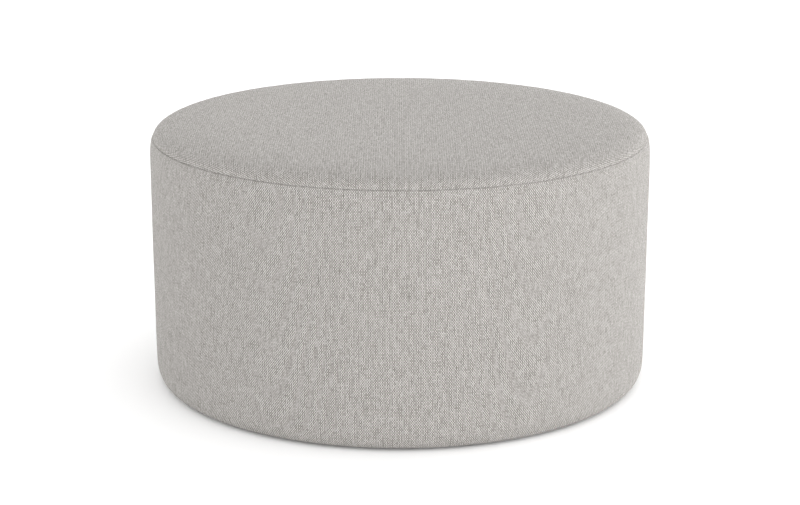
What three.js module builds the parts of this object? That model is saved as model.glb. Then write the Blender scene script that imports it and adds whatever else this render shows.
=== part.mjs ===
// A round cocktail ottoman covered in cloth down to the floor, in millimetres, +Z up.
// The origin is the centre of its underside, on the floor. It faces -Y, with its band's join at +Y.
// A filled top panel is sewn to a filled side band, and a dust cover closes the underside.

import * as THREE from 'three';

// The drum.
const drumDiameter = 914;
const seamHeight = 455.5;

// The top panel: how far its cloth rises from the seam over the rolled edge, and how much
// further in the middle. A larger edge tightness gives a flatter top and a tighter roll.
const edgeRise = 24.5;
const crownRise = 4.5;
const edgeTightness = 18.4;

// The seam: it lies inside the band's face, and draws the top's edge in as it turns down to it.
const seamInset = 5.4;
const seamTuck = 3;
const tuckHeight = 4;

// The side band: its padded shoulder under the seam, its wall, a little narrower at the foot,
// and its rounded lower edge. The underside rests on a narrow flat hem and slopes up from
// there, so that the edge clears the floor.
const shoulderDrop = 30.5;
const wallTaper = 1.5;
const lowerInset = 18;
const lowerRise = 32;
const lowerLift = 4;
const restingHem = 6;

// The dust cover, let into the underside inside the turned-under edge of the band.
const dustCoverDiameter = 798;
const dustCoverThickness = 1.7;

// Clearance between two pieces that are sewn or stapled to each other.
const clearance = 0.3;

// How finely the round shapes are divided.
const turnSteps = 96;
const rollSteps = 7;
const shoulderSteps = 7;
const wallSteps = 3;
const crownSteps = 14;
const tuckSteps = 3;

const drumRadius = drumDiameter / 2;
const seamRadius = drumRadius - seamInset;
const dustCoverRadius = dustCoverDiameter / 2;

const cloth = { roughness: 0.95, metalness: 0 };
const oatmealCloth = 0xb4aeaa;
const blackDustCloth = 0x2b2a2a;

// Turns a profile of (radius, height) points about the upright axis. The profile starts and
// ends on the axis and runs anticlockwise, which puts the faces on the outside.
function turned(name, profile, colour, finish) {
  const points = profile.map(([radius, height]) => new THREE.Vector2(radius, height));
  const geometry = new THREE.LatheGeometry(points, turnSteps);
  geometry.rotateX(Math.PI / 2);
  const material = new THREE.MeshStandardMaterial({ color: colour, ...finish });
  const mesh = new THREE.Mesh(geometry, material);
  mesh.name = name;
  return mesh;
}

// The height of the top panel's cloth above the seam, at a share of the seam's radius.
function topRise(share) {
  const edge = edgeRise * Math.sqrt(1 - share ** edgeTightness);
  const middle = crownRise * (1 - share ** 2);
  return edge + middle;
}

// How far the seam draws the top's edge in, at a height above it.
function drawnIn(rise) {
  const above = Math.min(rise / tuckHeight, 1);
  return seamTuck * (1 - above) ** 2;
}

// The filled top panel, from the seam over its rolled edge to the low crown in the middle.
function topPanel() {
  const base = seamHeight + clearance / 2;
  const profile = [[0, base]];
  profile.push([seamRadius - seamTuck, base]);
  for (let step = 1; step <= tuckSteps; step += 1) {
    const rise = (tuckHeight * step) / (tuckSteps + 1);
    const share = (1 - (rise / edgeRise) ** 2) ** (1 / edgeTightness);
    profile.push([seamRadius * share - drawnIn(rise), base + rise]);
  }
  const rollStart = (1 - (tuckHeight / edgeRise) ** 2) ** (1 / edgeTightness);
  for (let step = 0; step < crownSteps; step += 1) {
    const share = rollStart * (1 - (step / crownSteps) ** 2);
    profile.push([seamRadius * share, seamHeight + topRise(share)]);
  }
  profile.push([0, seamHeight + topRise(0)]);
  return turned('top_panel', profile, oatmealCloth, cloth);
}

// The filled side band: its underside with the recess for the dust cover, the hem it rests on
// and the slope up to its rounded edge, the straight wall, and the shoulder that turns in to
// the seam.
function sideBand() {
  const recessRadius = dustCoverRadius + clearance;
  const recessTop = dustCoverThickness + clearance;
  const restRadius = recessRadius + restingHem;
  const edgeRadius = drumRadius - wallTaper - lowerInset;
  const wallStart = lowerLift + lowerRise;
  const shoulderStart = seamHeight - shoulderDrop;
  const top = seamHeight - clearance / 2;
  const profile = [[0, recessTop], [recessRadius, recessTop], [recessRadius, 0]];
  profile.push([restRadius, 0]);
  for (let step = 0; step <= rollSteps; step += 1) {
    const turn = (Math.PI / 2) * (step / rollSteps);
    const radius = edgeRadius + lowerInset * Math.sin(turn);
    const height = lowerLift + lowerRise * (1 - Math.cos(turn));
    profile.push([radius, height]);
  }
  for (let step = 1; step < wallSteps; step += 1) {
    const share = step / wallSteps;
    const height = wallStart + (shoulderStart - wallStart) * share;
    profile.push([drumRadius - wallTaper * (1 - share), height]);
  }
  for (let step = 0; step <= shoulderSteps; step += 1) {
    const turn = (Math.PI / 2) * (step / shoulderSteps);
    const radius = seamRadius + seamInset * Math.cos(turn);
    const height = shoulderStart + (top - shoulderStart) * Math.sin(turn);
    profile.push([radius, height]);
  }
  profile.push([0, top]);
  return turned('side_band', profile, oatmealCloth, cloth);
}

// The dust cover: a flat round of thin cloth that closes the underside, level with the floor.
function bottomPanel() {
  const profile = [
    [0, 0],
    [dustCoverRadius, 0],
    [dustCoverRadius, dustCoverThickness],
    [0, dustCoverThickness],
  ];
  return turned('bottom_panel', profile, blackDustCloth, cloth);
}

const ottoman = new THREE.Group();
ottoman.name = 'cocktail_ottoman';
ottoman.add(topPanel(), sideBand(), bottomPanel());

export default ottoman;
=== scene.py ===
# A round cocktail ottoman: a padded drum in oatmeal cloth, with a crowned top panel sewn to
# a straight side band that reaches the floor, and a dark dust cover over its underside.

import math

import bpy
import numpy as np
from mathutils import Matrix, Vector, kdtree


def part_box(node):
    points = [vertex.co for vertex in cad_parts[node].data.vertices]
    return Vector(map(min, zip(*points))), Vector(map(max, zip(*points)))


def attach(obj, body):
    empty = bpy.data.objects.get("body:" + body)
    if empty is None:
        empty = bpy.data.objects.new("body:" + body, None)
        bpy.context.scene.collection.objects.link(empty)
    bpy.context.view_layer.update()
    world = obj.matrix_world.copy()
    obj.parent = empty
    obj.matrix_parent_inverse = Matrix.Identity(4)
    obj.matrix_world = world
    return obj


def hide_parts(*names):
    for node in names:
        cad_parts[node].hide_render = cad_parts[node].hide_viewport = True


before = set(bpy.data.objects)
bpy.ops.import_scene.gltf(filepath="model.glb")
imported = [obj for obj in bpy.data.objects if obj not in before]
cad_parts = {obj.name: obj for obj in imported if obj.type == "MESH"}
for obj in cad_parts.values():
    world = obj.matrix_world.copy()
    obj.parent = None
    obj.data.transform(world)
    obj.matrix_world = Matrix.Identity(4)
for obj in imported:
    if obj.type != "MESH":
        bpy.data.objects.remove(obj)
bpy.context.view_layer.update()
scene = bpy.context.scene

# The top panel is a round of chenille cloth over a foam pad. Its edge is rolled down over
# the foam to the seam and drawn in there, and the filling crowns it a little in the middle.
# It is sewn right round to the side band.
band_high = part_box("side_band")[1]
top_low, top_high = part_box("top_panel")
drum_radius = band_high[0]
SEAM_INSET = 0.0054
seam_radius = drum_radius - SEAM_INSET
sewn_gap = top_low[2] - band_high[2]
seam_height = band_high[2] + sewn_gap / 2
CROWN_RISE = 0.0045
edge_rise = top_high[2] - seam_height - CROWN_RISE
EDGE_TIGHTNESS = 18.4
SEAM_TUCK = 0.0007
SEAM_SWAY = 0.5
TUCK_HEIGHT = 0.0012
ROUND_STEPS = 192
ROLL_TURNS = 8
INNER_SHARES = (0.76, 0.68, 0.60)
SMOOTHINGS = 2


def begin_ring(name, radius, height):
    """Lays the first edge of a round cover, left open in edit mode to be drawn out."""
    bpy.ops.object.select_all(action="DESELECT")
    bpy.ops.mesh.primitive_circle_add(
        vertices=ROUND_STEPS, radius=radius, location=(0, 0, height)
    )
    piece = bpy.context.object
    piece.name = piece.data.name = name
    bpy.ops.object.transform_apply(location=True, rotation=True, scale=True)
    bpy.ops.object.mode_set(mode="EDIT")
    bpy.ops.mesh.select_all(action="SELECT")
    return piece


def face_outwards(piece):
    """Turns every face of a cover outwards, away from the drum's middle."""
    bpy.ops.mesh.select_all(action="SELECT")
    bpy.ops.mesh.normals_make_consistent(inside=False)
    bpy.ops.object.mode_set(mode="OBJECT")
    middle = Vector((0, 0, seam_height / 2))
    facing = sum(
        face.area * face.normal.dot(face.center - middle) for face in piece.data.polygons
    )
    if facing < 0:
        piece.data.flip_normals()


def draw_out(rings):
    """Draws the selected edge of cloth from the first ring of (radius, height) to the last."""
    for (radius, height), (next_radius, next_height) in zip(rings, rings[1:]):
        rise = (0, 0, next_height - height)
        bpy.ops.mesh.extrude_region_move(TRANSFORM_OT_translate={"value": rise})
        spread = next_radius / radius
        bpy.ops.transform.resize(
            value=(spread, spread, 1), center_override=(0, 0, next_height)
        )


def points_of(piece):
    """The places of a piece's points in metres, a row for each."""
    places = np.empty(len(piece.data.vertices) * 3)
    piece.data.vertices.foreach_get("co", places)
    return places.reshape(-1, 3)


def set_points(piece, places):
    """Moves a piece's points to new places."""
    piece.data.vertices.foreach_set("co", places.ravel())
    piece.data.update()


def open_edge(piece):
    """The points of a cover that lie on its open edges, where it is held while it is filled."""
    used = {}
    for face in piece.data.polygons:
        for key in face.edge_keys:
            used[key] = used.get(key, 0) + 1
    return sorted({point for key, times in used.items() if times == 1 for point in key})


FILLING_PRESSURE = 4
FILLING_FRAMES = 20


def fill(piece, fullness, held_below):
    """Swells a cover on its filling until it stands out by fullness. It is held at its open
    edges and wherever it lies below a height."""
    flat = points_of(piece)
    bpy.ops.object.select_all(action="DESELECT")
    cover = piece.copy()
    cover.data = piece.data.copy()
    scene.collection.objects.link(cover)
    held = cover.vertex_groups.new(name="held_edge")
    held_points = set(open_edge(cover)) | set(np.flatnonzero(flat[:, 2] < held_below).tolist())
    held.add(sorted(held_points), 1.0, "REPLACE")
    cloth = cover.modifiers.new("cover_on_filling", "CLOTH")
    cloth.settings.vertex_group_mass = held.name
    cloth.settings.use_pressure = True
    cloth.settings.uniform_pressure_force = FILLING_PRESSURE
    cloth.settings.effector_weights.gravity = 0
    cloth.collision_settings.use_collision = False
    cloth.point_cache.frame_end = FILLING_FRAMES
    for moment in range(1, FILLING_FRAMES + 1):
        scene.frame_set(moment)
    filled = cover.evaluated_get(bpy.context.evaluated_depsgraph_get())
    swollen = np.array([point.co for point in filled.data.vertices])
    scene.frame_set(1)
    bpy.data.objects.remove(cover)
    swelling = swollen - flat
    most = np.linalg.norm(swelling, axis=1).max()
    set_points(piece, flat + swelling * min(fullness / most, 1))


def smooth_over(piece):
    """Turns the drawn-out cage of a cover into its fine rounded surface."""
    bpy.ops.object.select_all(action="DESELECT")
    piece.select_set(True)
    bpy.context.view_layer.objects.active = piece
    rounding = piece.modifiers.new("rounding", "SUBSURF")
    rounding.levels = rounding.render_levels = SMOOTHINGS
    bpy.ops.object.modifier_apply(modifier=rounding.name)


def unevenness(angle, along, size, seed, waves=24):
    """A soft seeded waviness of about -1 to 1 round the drum, with bumps of the size in metres."""
    random = np.random.RandomState(seed)
    total = np.zeros_like(angle)
    for _ in range(waves):
        turns = random.randint(1, max(2, int(math.tau * drum_radius / size)))
        rise = random.uniform(-1, 1) * math.tau / size
        total += np.cos(turns * angle + rise * along + random.uniform(0, math.tau))
    return total * math.sqrt(2 / waves)


# A sewn edge pulls the cloth beside it into fine puckers a centimetre or two apart. Away from
# the seam, padding laid by hand leaves long and very shallow waves.
PUCKER_SIZE = 0.016
PUCKER_DEPTH = 0.0002
PUCKER_REACH = 0.014
PUCKER_WAVES = 40
HAND_WAVE = 0.17
HAND_DEPTH = 0.00015
HAND_FADE = 0.06
CROSS_WAVES = 2.3
CROSS_START = 0.7

roll = [
    (math.cos(turn) ** (2 / EDGE_TIGHTNESS), math.sin(turn))
    for turn in (math.pi / 2 * step / ROLL_TURNS for step in range(ROLL_TURNS))
]
top_rings = [(seam_radius * share, seam_height + edge_rise * rise) for share, rise in roll]
for share in INNER_SHARES:
    rise = math.sqrt(1 - share**EDGE_TIGHTNESS)
    top_rings.append((seam_radius * share, seam_height + edge_rise * rise))

# The rounding draws a ring in by one part in six of the bend between its neighbours.
ROUNDING_PARTS = 6


def allow_for_rounding(rings):
    """Lays each ring as far outside its place as the rounding will draw it in."""
    laid = [rings[0]]
    for before, ring, after in zip(rings, rings[1:], rings[2:]):
        sides = zip(before, ring, after)
        laid.append(tuple(b - (a - 2 * b + c) / ROUNDING_PARTS for a, b, c in sides))
    return laid + [rings[-1]]


top_rings = allow_for_rounding(top_rings)
top_panel = begin_ring("top_panel_cloth", *top_rings[0])
draw_out(top_rings)
bpy.ops.mesh.fill_grid(span=ROUND_STEPS // 4)
face_outwards(top_panel)
fill(top_panel, CROWN_RISE, held_below=seam_height)
smooth_over(top_panel)

places = points_of(top_panel)
angle = np.arctan2(places[:, 0], -places[:, 1])
radius = np.hypot(places[:, 0], places[:, 1])
above_seam = places[:, 2] - seam_height
from_seam = np.maximum(above_seam, 0) + (seam_radius - radius)
puckers = PUCKER_DEPTH * np.exp(-from_seam / PUCKER_REACH)
puckers *= unevenness(angle, from_seam * 0, PUCKER_SIZE, seed=3, waves=PUCKER_WAVES)

# The seam draws the edge in as it turns down to it, a little tighter on the left.
tuck = SEAM_TUCK * (1 - SEAM_SWAY * np.sin(angle))
tuck *= (1 - np.clip(above_seam / TUCK_HEIGHT, 0, 1)) ** 2
drawn = radius - tuck + puckers
places[:, :2] *= (drawn / np.maximum(radius, 1e-6))[:, None]
soft = HAND_DEPTH * unevenness(angle * 0, places[:, 1], HAND_WAVE, seed=5)
soft *= np.cos(places[:, 0] / HAND_WAVE * CROSS_WAVES + CROSS_START)
places[:, 2] += soft * np.clip(from_seam / HAND_FADE, 0, 1)
set_points(top_panel, places)


EDGE_NEAR = 0.003
EDGE_INWARDS = 0.97


def close_edge(piece, height, inner, last):
    """Turns the open edge at a height in towards the axis and closes it, out of sight. The
    closing face is the only one with more than four corners, and it stays flat."""
    bpy.context.view_layer.objects.active = piece
    bpy.ops.object.mode_set(mode="EDIT")
    bpy.ops.mesh.select_mode(type="VERT")
    bpy.ops.mesh.select_all(action="DESELECT")
    bpy.ops.object.mode_set(mode="OBJECT")
    for point in open_edge(piece):
        vertex = piece.data.vertices[point]
        vertex.select = abs(vertex.co.z - height) < EDGE_NEAR
    bpy.ops.object.mode_set(mode="EDIT")
    bpy.ops.mesh.select_mode(type="EDGE")
    bpy.ops.mesh.extrude_edges_move(TRANSFORM_OT_translate={"value": (0, 0, last - height)})
    bpy.ops.transform.resize(value=(inner, inner, 1), center_override=(0, 0, last))
    bpy.ops.mesh.edge_face_add()
    bpy.ops.mesh.select_all(action="SELECT")
    bpy.ops.mesh.normals_make_consistent(inside=False)
    bpy.ops.object.mode_set(mode="OBJECT")
    for face in piece.data.polygons:
        face.use_smooth = len(face.vertices) < 5


close_edge(top_panel, seam_height, inner=EDGE_INWARDS, last=seam_height + sewn_gap / 2)


def cut_length(outline):
    """Finds how far along the cut cloth each point of the outline lies, in metres."""
    steps = np.linalg.norm(np.diff(outline, axis=0), axis=1)
    return np.concatenate([[0], np.cumsum(steps)])


def lay_cut(piece, outline, place_on_cut):
    """Gives each point of a cover its place on the flat cut cloth, in metres, as a UV map."""
    lengths = cut_length(outline)
    finder = kdtree.KDTree(len(outline))
    for number, (radius, height) in enumerate(outline):
        finder.insert((radius, height, 0), number)
    finder.balance()
    places = points_of(piece)
    radius = np.hypot(places[:, 0], places[:, 1])
    nearest = [finder.find((r, z, 0))[1] for r, z in zip(radius, places[:, 2])]
    along = lengths[nearest]
    angle = np.arctan2(places[:, 0], -places[:, 1])
    cut = piece.data.uv_layers.new(name="cut_cloth")
    corner_points = np.empty(len(piece.data.loops), dtype=int)
    piece.data.loops.foreach_get("vertex_index", corner_points)
    face_sizes = np.empty(len(piece.data.polygons), dtype=int)
    piece.data.polygons.foreach_get("loop_total", face_sizes)
    centres = np.empty(len(piece.data.polygons) * 3)
    piece.data.polygons.foreach_get("center", centres)
    centres = centres.reshape(-1, 3)
    face_angle = np.repeat(np.arctan2(centres[:, 0], -centres[:, 1]), face_sizes)
    turn = (angle[corner_points] - face_angle + math.pi) % math.tau - math.pi
    laid = place_on_cut(face_angle + turn, along[corner_points])
    cut.data.foreach_set("uv", laid.astype(np.float32).ravel())


FLAT_SHARE = 0.6
FLAT_STEPS = 400
ROLL_STEPS = 1500


def top_outline():
    """The top's outline in fine steps of (radius, height), from the middle out to the seam."""
    turns = np.linspace(0, math.pi / 2, ROLL_STEPS)
    share = np.cos(turns) ** (2 / EDGE_TIGHTNESS)
    rolled = share[::-1][share[::-1] > FLAT_SHARE]
    share = np.concatenate([np.linspace(0, FLAT_SHARE, FLAT_STEPS), rolled])
    rise = edge_rise * np.sqrt(np.maximum(1 - share**EDGE_TIGHTNESS, 0))
    return np.column_stack(
        [seam_radius * share, seam_height + rise + CROWN_RISE * (1 - share**2)]
    )


def on_round(angle, along):
    """Lays the top flat as a round, as it is cut."""
    return np.column_stack([along * np.sin(angle), -along * np.cos(angle)])


lay_cut(top_panel, top_outline(), on_round)


def linear(colour):
    """Turns an sRGB hex colour into the linear colour that a shader takes."""
    parts = [int(colour[place : place + 2], 16) / 255 for place in (0, 2, 4)]
    return [
        part / 12.92 if part <= 0.04045 else ((part + 0.055) / 1.055) ** 2.4 for part in parts
    ] + [1.0]


def add(material, kind, inputs=(), **settings):
    """Adds one node to a material, with its settings and a value or a link for each input.
    Returns its first output."""
    node = material.node_tree.nodes.new(kind)
    for name, value in settings.items():
        setattr(node, name, value)
    for name, value in dict(inputs).items():
        if isinstance(value, bpy.types.NodeSocket):
            material.node_tree.links.new(value, node.inputs[name])
        else:
            node.inputs[name].default_value = value
    return node.outputs[0] if node.outputs else node


# Chenille upholstery cloth: a plain weave of soft slubbed yarn, its warp 2 mm and its weft
# 2.55 mm apart, in near tones of oatmeal, so it looks speckled, matt and a little streaky.
WARP_PITCH = 0.002
WEFT_PITCH = 0.00255
YARN_RELIEF = 0.0003
YARN_WANDER = 0.3
WANDER_RUN = 0.35
BACK_TOP = 0.8
BACK_CURVE = 3.2
YARN_BEND = 0.5
CROSSING_BLEND = 0.15
SLUB_LENGTH = 0.022
LIGHT_YARN = linear("BCB9B6")
DARK_YARN = linear("6D6A65")
GAP_SHADE = linear("4A4743")
VECTOR = "ShaderNodeVectorMath"
NUMBER = "ShaderNodeMath"
NOISE = "ShaderNodeTexNoise"
PARTS = "ShaderNodeSeparateXYZ"
RANGE = "ShaderNodeMapRange"
MIX = "ShaderNodeMix"
FACTOR, FIRST, SECOND, MIXED = 0, 6, 7, 2

chenille = bpy.data.materials.new("woven_oatmeal_chenille")
chenille.use_nodes = True
chenille.node_tree.nodes.clear()

# The place on the cut cloth is counted in yarns: whole numbers name a crossing, and what is
# left over is the place across it. The yarns wander a little from their straight lines.
cut_place = add(chenille, "ShaderNodeUVMap", uv_map="cut_cloth")
pitches = (1 / WARP_PITCH, 1 / WEFT_PITCH, 1)
yarns = add(chenille, VECTOR, {0: cut_place, 1: pitches}, operation="MULTIPLY")
wander_noise = {"Vector": yarns, "Scale": WANDER_RUN, "Detail": 2.0}
wander = add(chenille, NOISE, wander_noise).node.outputs[1]
shift = add(chenille, VECTOR, {0: wander, 1: (0.5, 0.5, 0.5)}, operation="SUBTRACT")
reach = (YARN_WANDER, YARN_WANDER, 0)
wandered = add(chenille, VECTOR, {0: shift, 1: reach, 2: yarns}, operation="MULTIPLY_ADD")
crossing = add(chenille, VECTOR, {0: wandered}, operation="FLOOR")
inside = add(chenille, VECTOR, {0: wandered}, operation="FRACTION")
middle = add(chenille, VECTOR, {0: inside, 1: (0.5, 0.5, 0)}, operation="SUBTRACT")
squared = add(chenille, VECTOR, {0: middle, 1: middle}, operation="MULTIPLY")

# Each yarn has a round back, and bends over one crossing and under the next. The yarn that
# stands higher is the one that shows.
back_curve = (-BACK_CURVE, -BACK_CURVE, 0)
back_shape = {0: squared, 1: back_curve, 2: (BACK_TOP, BACK_TOP, 0)}
backs = add(chenille, PARTS, {0: add(chenille, VECTOR, back_shape, operation="MULTIPLY_ADD")})
half_turns = {0: wandered, 1: (math.pi,) * 3, 2: (-math.pi / 2,) * 3}
bends = add(chenille, VECTOR, half_turns, operation="MULTIPLY_ADD")
bend_parts = add(chenille, PARTS, {0: add(chenille, VECTOR, {0: bends}, operation="COSINE")})
turns = add(chenille, VECTOR, {0: crossing, 1: (math.pi,) * 3}, operation="MULTIPLY")
side_parts = add(chenille, PARTS, {0: add(chenille, VECTOR, {0: turns}, operation="COSINE")})
bend_x, bend_y = bend_parts.node.outputs[0], bend_parts.node.outputs[1]
side_x, side_y = side_parts.node.outputs[0], side_parts.node.outputs[1]
back_x, back_y = backs.node.outputs[0], backs.node.outputs[1]
warp_bend = add(chenille, NUMBER, {0: side_x, 1: bend_y}, operation="MULTIPLY")
weft_bend = add(chenille, NUMBER, {0: side_y, 1: bend_x}, operation="MULTIPLY")
warp_lie = {0: warp_bend, 1: YARN_BEND, 2: back_x}
weft_lie = {0: weft_bend, 1: -YARN_BEND, 2: back_y}
warp_height = add(chenille, NUMBER, warp_lie, operation="MULTIPLY_ADD")
weft_height = add(chenille, NUMBER, weft_lie, operation="MULTIPLY_ADD")
blend = {0: warp_height, 1: weft_height, 2: CROSSING_BLEND}
surface = add(chenille, NUMBER, blend, operation="SMOOTH_MAX")
warp_shows = add(chenille, NUMBER, {0: warp_height, 1: weft_height}, operation="GREATER_THAN")

# Every yarn has a tone of its own that drifts along it in slubs, and every second one is lighter,
# more in some patches than in others. The warp is lighter than the weft: this is partly their own
# tones and partly painted shade that darkens the weft floats. The warp's pile spreads over the
# weft beside it. Each tuft at a crossing has a tone of its own too, widened by painted light and
# shade for the two sides of its pile.
WARP_LIFT_AND_WEFT_SHADE = 0.82
PILE_SPREAD = 0.5
TUFT_TONE_AND_SHADE_SPREAD = 0.5
WARP_APART = 0.3
WARP_SLUBS = 0.33
WARP_STRIDE = 7.31
WEFT_APART = -0.1
WEFT_SLUBS = 0.1
WEFT_STRIDE = 5.77
PATCH_RUN = 0.3
PATCH_LEAST = -0.2
PATCH_MOST = 1.2
DARK_UP_TO = 0.3
LIT_FROM = 0.9


def yarn_tones(own, run, side, apart, slubs):
    """The tone of the yarns that lie one way, from their own steps and their slubs' run."""
    drift = add(chenille, VECTOR, {0: yarns, 1: run}, operation="MULTIPLY")
    place = add(chenille, VECTOR, {0: crossing, 1: own, 2: drift}, operation="MULTIPLY_ADD")
    slub = add(chenille, NOISE, {"Vector": place, "Scale": 1.0, "Detail": 1.0})
    reach = {"Value": slub, "From Min": 0.25, "From Max": 0.75, "To Min": -slubs, "To Max": slubs}
    own_tone = add(chenille, RANGE, reach, clamp=False)
    return add(chenille, NUMBER, {0: side, 1: apart, 2: own_tone}, operation="MULTIPLY_ADD")


patches = add(chenille, NOISE, {"Vector": yarns, "Scale": PATCH_RUN, "Detail": 1.0})
patch_reach = {
    "Value": patches,
    "From Min": 0.3,
    "From Max": 0.7,
    "To Min": PATCH_LEAST,
    "To Max": PATCH_MOST,
}
patch = add(chenille, RANGE, patch_reach, clamp=False)
warp_side = add(chenille, NUMBER, {0: side_x, 1: patch}, operation="MULTIPLY")
weft_side = add(chenille, NUMBER, {0: side_y, 1: patch}, operation="MULTIPLY")
along_warp = (0, WEFT_PITCH / SLUB_LENGTH, 0)
along_weft = (WARP_PITCH / SLUB_LENGTH, 0, 0)
warp_tone = yarn_tones((WARP_STRIDE, 0, 0), along_warp, warp_side, WARP_APART, WARP_SLUBS)
weft_tone = yarn_tones((0, WEFT_STRIDE, 0), along_weft, weft_side, WEFT_APART, WEFT_SLUBS)
spread = {0: warp_shows, 1: 1 - PILE_SPREAD, 2: PILE_SPREAD}
warp_share = add(chenille, NUMBER, spread, operation="MULTIPLY_ADD")
yarn_tone = add(chenille, MIX, {FACTOR: warp_share, 2: weft_tone, 3: warp_tone})
# Painted shade: the weft is darker than the warp, partly as shade painted into its colour.
lift_and_shade = {0: warp_shows, 1: WARP_LIFT_AND_WEFT_SHADE, 2: yarn_tone}
warp_lift_and_weft_shade = add(chenille, NUMBER, lift_and_shade, operation="MULTIPLY_ADD")
# Painted light and shade: each tuft's random tone is widened to stand in for the lit and shaded
# sides of its pile.
tuft = add(chenille, "ShaderNodeTexWhiteNoise", {"Vector": crossing})
tuft_reach = {0: tuft, 1: TUFT_TONE_AND_SHADE_SPREAD, 2: 0.5 - (WARP_LIFT_AND_WEFT_SHADE + TUFT_TONE_AND_SHADE_SPREAD) / 2}
tuft_tone_and_shade = add(chenille, NUMBER, tuft_reach, operation="MULTIPLY_ADD")
tones = add(chenille, NUMBER, {0: warp_lift_and_weft_shade, 1: tuft_tone_and_shade}, operation="ADD")
yarn_mix = {FACTOR: tones, FIRST: DARK_YARN, SECOND: LIGHT_YARN}
yarn_colour = add(chenille, MIX, yarn_mix, data_type="RGBA").node.outputs[MIXED]
# Painted shade: where the yarns lie low between the crossings, the colour darkens to the gap
# shade. This stands in for the shadow in the gaps.
gap_shade_span = {"Value": surface, "From Min": DARK_UP_TO, "From Max": LIT_FROM}
clear_of_gap_shade = add(chenille, RANGE, gap_shade_span, interpolation_type="SMOOTHSTEP")
cloth_mix = {FACTOR: clear_of_gap_shade, FIRST: GAP_SHADE, SECOND: yarn_colour}
cloth_colour = add(chenille, MIX, cloth_mix, data_type="RGBA").node.outputs[MIXED]

# The chenille's fuzz breaks up the yarns' round backs.
FUZZ_RUN = 3.5
FUZZ_SHARE = 0.5
fuzz_noise = {"Vector": yarns, "Scale": FUZZ_RUN, "Detail": 3.0, "Roughness": 0.7}
fuzz = add(chenille, NOISE, fuzz_noise)
relief = add(chenille, NUMBER, {0: fuzz, 1: FUZZ_SHARE, 2: surface}, operation="MULTIPLY_ADD")
bump = add(chenille, "ShaderNodeBump", {"Height": relief, "Distance": YARN_RELIEF})
finish = add(
    chenille,
    "ShaderNodeBsdfPrincipled",
    {
        "Base Color": cloth_colour,
        "Roughness": 0.92,
        "IOR": 1.5,
        "Specular IOR Level": 0.3,
        "Sheen Weight": 0.12,
        "Sheen Roughness": 0.5,
        "Sheen Tint": LIGHT_YARN,
        "Normal": bump,
    },
)
add(chenille, "ShaderNodeOutputMaterial", {"Surface": finish})
top_panel.data.materials.append(chenille)
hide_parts("top_panel")
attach(top_panel, "root")


# The side band is a strip of the same chenille round the drum's padded wall. It rolls over a
# padded shoulder to the seam with the top, and is rounded in below, turned under just clear
# of the floor and stapled. Its two ends are joined in one plain upright seam at the back.
SHOULDER_DROP = 0.0305
LOWER_INSET = 0.018
LOWER_RISE = 0.032
LOWER_LIFT = 0.004
RESTING_HEM = 0.006
WALL_TAPER = 0.0015
WALL_FULLNESS = 0.0006
HEM_HELD = 0.0065
JOIN_REACH = 0.009
JOIN_WIDTH = 0.0016
JOIN_DEPTH = 0.006
JOIN_GATHER = 0.65
JOIN_FADE = 0.01
WALL_FADE_START = 0.01
WALL_FADE = 0.05
SLOPE_STEPS = 4
BOTTOM_TURNS = 6
SHOULDER_TURNS = 6
WALL_STEPS = 9
FINE_STEPS = (200, 100, 1200, 200)
cover_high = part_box("bottom_panel")[1]
cover_radius = cover_high[0]
hem_radius = cover_radius + sewn_gap
slope_start = hem_radius + RESTING_HEM
roll_radius = drum_radius - WALL_TAPER - LOWER_INSET
wall_start = LOWER_LIFT + LOWER_RISE
shoulder_start = seam_height - SHOULDER_DROP
ledge = seam_height - sewn_gap / 2


def band_outline(slope_steps, bottom_steps, wall_steps, turn_steps):
    """The band's outline as (radius, height), from its turned-under hem up to the seam."""
    outline = [(hem_radius, 0.0)]
    for step in range(slope_steps):
        share = step / slope_steps
        radius = slope_start + (roll_radius - slope_start) * share
        outline.append((radius, LOWER_LIFT * share))
    for step in range(bottom_steps + 1):
        turn = math.pi / 2 * step / bottom_steps
        radius = roll_radius + LOWER_INSET * math.sin(turn)
        outline.append((radius, LOWER_LIFT + LOWER_RISE * (1 - math.cos(turn))))
    for step in range(1, wall_steps):
        share = step / wall_steps
        height = wall_start + (shoulder_start - wall_start) * share
        outline.append((drum_radius - WALL_TAPER * (1 - share), height))
    for step in range(turn_steps + 1):
        turn = math.pi / 2 * step / turn_steps
        outline.append(
            (
                seam_radius + SEAM_INSET * math.cos(turn),
                shoulder_start + (ledge - shoulder_start) * math.sin(turn),
            )
        )
    outline.append((seam_radius - SEAM_TUCK, ledge))
    return outline


band_rings = band_outline(SLOPE_STEPS, BOTTOM_TURNS, WALL_STEPS, SHOULDER_TURNS)
side_band = begin_ring("side_band_cloth", *band_rings[0])
draw_out(band_rings)
face_outwards(side_band)
fill(side_band, WALL_FULLNESS, held_below=HEM_HELD)
smooth_over(side_band)

places = points_of(side_band)
angle = np.arctan2(places[:, 0], -places[:, 1])
radius = np.hypot(places[:, 0], places[:, 1])
below_seam = np.maximum(ledge - places[:, 2], 0) + np.maximum(drum_radius - radius, 0)
puckers = PUCKER_DEPTH * np.exp(-below_seam / PUCKER_REACH)
puckers *= unevenness(angle, below_seam * 0, PUCKER_SIZE, seed=3, waves=PUCKER_WAVES)
on_wall = np.clip((places[:, 2] - WALL_FADE_START) / WALL_FADE, 0, 1)
on_wall *= np.clip(below_seam / HAND_FADE, 0, 1)
hand = HAND_DEPTH * unevenness(angle, places[:, 2], HAND_WAVE, seed=11) * on_wall

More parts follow.
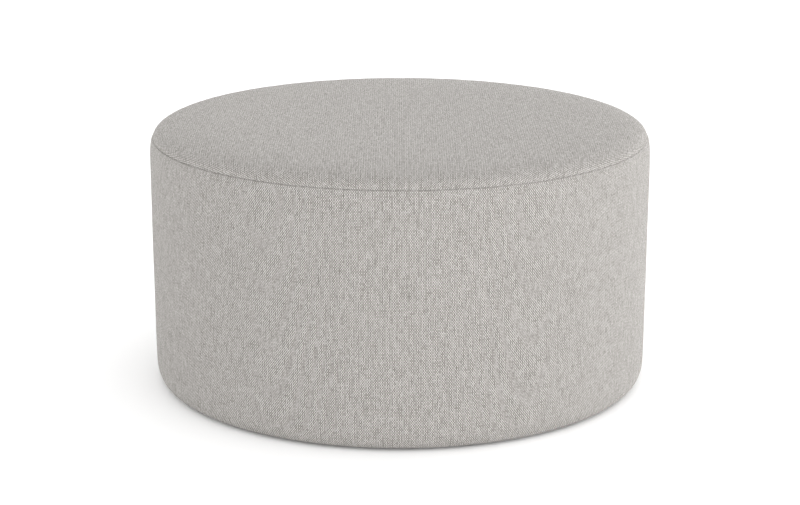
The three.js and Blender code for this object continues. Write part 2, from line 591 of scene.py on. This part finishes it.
# The back join draws the cloth in along one line, and the cloth beside it in towards it.
from_join = (math.pi - np.abs(angle)) * drum_radius
gathered = from_join * (1 - JOIN_GATHER * np.exp(-((from_join / JOIN_REACH) ** 2)))
angle = np.sign(angle) * (math.pi - gathered / drum_radius)
join = JOIN_DEPTH * np.exp(-((gathered / JOIN_WIDTH) ** 2))
join *= np.clip((places[:, 2] - LOWER_LIFT) / JOIN_FADE, 0, 1)
radius += puckers + hand - join
places[:, 0] = radius * np.sin(angle)
places[:, 1] = -radius * np.cos(angle)
set_points(side_band, places)
close_edge(side_band, ledge, inner=EDGE_INWARDS, last=ledge)
close_edge(side_band, 0.0, inner=1.0, last=cover_high[2] + sewn_gap)


def round_drum(angle, along):
    """Lays the band flat as a straight strip, as it is cut."""
    return np.column_stack([angle * drum_radius, along])


fine_outline = np.array(band_outline(*FINE_STEPS))
lay_cut(side_band, fine_outline, round_drum)
side_band.data.materials.append(chenille)
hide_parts("side_band")
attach(side_band, "root")


# The dust cover is a round of thin black bonded cloth, stretched flat over the underside and
# stapled inside the turned-under edge of the band.
COVER_CLOTH = 0.0011
COVER_SLACK = 0.0002
COVER_LIFT = 0.0003
COVER_STEPS = 96
PULL_SIZE = 0.05
PULL_REACH = 0.03
DUST_BLACK = linear("2B2A2A")
DUST_GREY = linear("3A3938")
BOND_PITCH = 0.0016
BOND_RELIEF = 0.0002
BOND_SHARE = 0.6
FIBRE_RUN = 900.0

bpy.ops.object.select_all(action="DESELECT")
bpy.ops.mesh.primitive_circle_add(vertices=COVER_STEPS, radius=cover_radius)
dust_cover = bpy.context.object
dust_cover.name = dust_cover.data.name = "dust_cover_cloth"
bpy.ops.object.mode_set(mode="EDIT")
bpy.ops.mesh.select_all(action="SELECT")
bpy.ops.mesh.fill_grid(span=COVER_STEPS // 4)
bpy.ops.mesh.subdivide(number_cuts=1)
bpy.ops.object.mode_set(mode="OBJECT")
places = points_of(dust_cover)
radius = np.hypot(places[:, 0], places[:, 1])
angle = np.arctan2(places[:, 0], -places[:, 1])
edge = np.exp(-(cover_radius - radius) / PULL_REACH)
pull = unevenness(angle, radius * 0, PULL_SIZE, seed=21) * edge
places[:, 2] = COVER_LIFT + COVER_SLACK * np.tanh(pull)
set_points(dust_cover, places)
thickness = dust_cover.modifiers.new("cloth_thickness", "SOLIDIFY")
thickness.thickness = COVER_CLOTH
thickness.offset = 1.0 if dust_cover.data.polygons[0].normal.z > 0 else -1.0
bpy.ops.object.modifier_apply(modifier=thickness.name)

bonded = bpy.data.materials.new("spunbond_black_dust_cloth")
bonded.use_nodes = True
bonded.node_tree.nodes.clear()
on_cover = add(bonded, "ShaderNodeTexCoord").node.outputs["Object"]
fibre_noise = {"Vector": on_cover, "Scale": FIBRE_RUN, "Detail": 4.0, "Roughness": 0.7}
fibres = add(bonded, NOISE, fibre_noise)
bonds = add(bonded, "ShaderNodeTexVoronoi", {"Vector": on_cover, "Scale": 1 / BOND_PITCH})
dust_mix = {FACTOR: fibres, FIRST: DUST_BLACK, SECOND: DUST_GREY}
dust_colour = add(bonded, MIX, dust_mix, data_type="RGBA").node.outputs[MIXED]
bond_mix = {0: bonds, 1: BOND_SHARE, 2: fibres}
bond_relief = add(bonded, NUMBER, bond_mix, operation="MULTIPLY_ADD")
bond_bump = add(bonded, "ShaderNodeBump", {"Height": bond_relief, "Distance": BOND_RELIEF})
dust_finish = {
    "Base Color": dust_colour,
    "Roughness": 0.85,
    "IOR": 1.5,
    "Normal": bond_bump,
}
dust_surface = add(bonded, "ShaderNodeBsdfPrincipled", dust_finish)
add(bonded, "ShaderNodeOutputMaterial", {"Surface": dust_surface})
dust_cover.data.materials.append(bonded)
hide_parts("bottom_panel")
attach(dust_cover, "root")


# The studio: a plain white floor in a white room, with a large soft light and a low bank of
# light on each side, strongest on the right. The low bank in front is very faint.
FLOOR_SPAN = 60.0
FLOOR_DROP = 0.0003
FLOOR_WHITE = linear("FBFBFB")
ROOM_LIGHT = 0.526
BANK_RISE = 0.18
SIDE_LIGHTS = (
    ((1, 0, 0), 2.09, 3.45),
    ((-1, 0, 0), 0.86, 0.98),
    ((0, -1, 0), 2.08, 0.1),
    ((0, 1, 0), 1.58, 2.08),
)

bpy.ops.object.select_all(action="DESELECT")
bpy.ops.mesh.primitive_plane_add(size=FLOOR_SPAN, location=(0, 0, -FLOOR_DROP))
floor = bpy.context.object
floor.name = "studio_floor"
bpy.ops.object.transform_apply(location=True, rotation=True, scale=True)
floor_paint = bpy.data.materials.new("matt_white_floor")
floor_paint.use_nodes = True
painted = floor_paint.node_tree.nodes["Principled BSDF"]
painted.inputs["Base Color"].default_value = FLOOR_WHITE
painted.inputs["Roughness"].default_value = 0.9
painted.inputs["Specular IOR Level"].default_value = 0.0
floor.data.materials.append(floor_paint)

# A soft light falls off with the square of the cosine to its side, a bank with the height.
room = bpy.data.worlds.new("white_room")
room.use_nodes = True
way = add(room, "ShaderNodeTexCoord")
height = add(room, PARTS, {0: way}).node.outputs[2]
steepness = add(room, NUMBER, {0: height, 1: height}, operation="MULTIPLY")
fall = add(room, NUMBER, {0: steepness, 1: -1 / BANK_RISE**2}, operation="MULTIPLY")
low = add(room, NUMBER, {0: fall}, operation="EXPONENT")
light = ROOM_LIGHT
for side, soft, bank in SIDE_LIGHTS:
    towards = add(room, VECTOR, {0: way, 1: side}, operation="DOT_PRODUCT").node.outputs[1]
    facing = add(room, NUMBER, {0: towards, 1: 0.0}, operation="MAXIMUM")
    banked = add(room, NUMBER, {0: low, 1: bank}, operation="MULTIPLY")
    shone = add(room, NUMBER, {0: facing, 1: soft, 2: banked}, operation="MULTIPLY_ADD")
    light = add(room, NUMBER, {0: facing, 1: shone, 2: light}, operation="MULTIPLY_ADD")
room.node_tree.links.new(light, room.node_tree.nodes["Background"].inputs["Strength"])
room.node_tree.nodes["Background"].inputs["Color"].default_value = (1, 1, 1, 1)
scene.world = room
scene.view_settings.view_transform = "Standard"

# The camera stands in front of the drum at the photograph's height and slope.
VIEW_DISTANCE = 8.207
VIEW_HEIGHT = 2.781
VIEW_DOWN = 0.2718
VIEW_LENS = 93.9
SENSOR_WIDTH = 36.0
camera = bpy.data.cameras.new("camera")
camera.lens = VIEW_LENS
camera.sensor_width = SENSOR_WIDTH
camera.clip_end = 100.0
camera_object = bpy.data.objects.new("camera", camera)
camera_object.location = (0, -VIEW_DISTANCE * drum_radius, VIEW_HEIGHT * drum_radius)
camera_object.rotation_euler = (math.pi / 2 - VIEW_DOWN, 0, 0)
scene.collection.objects.link(camera_object)
scene.camera = camera_object
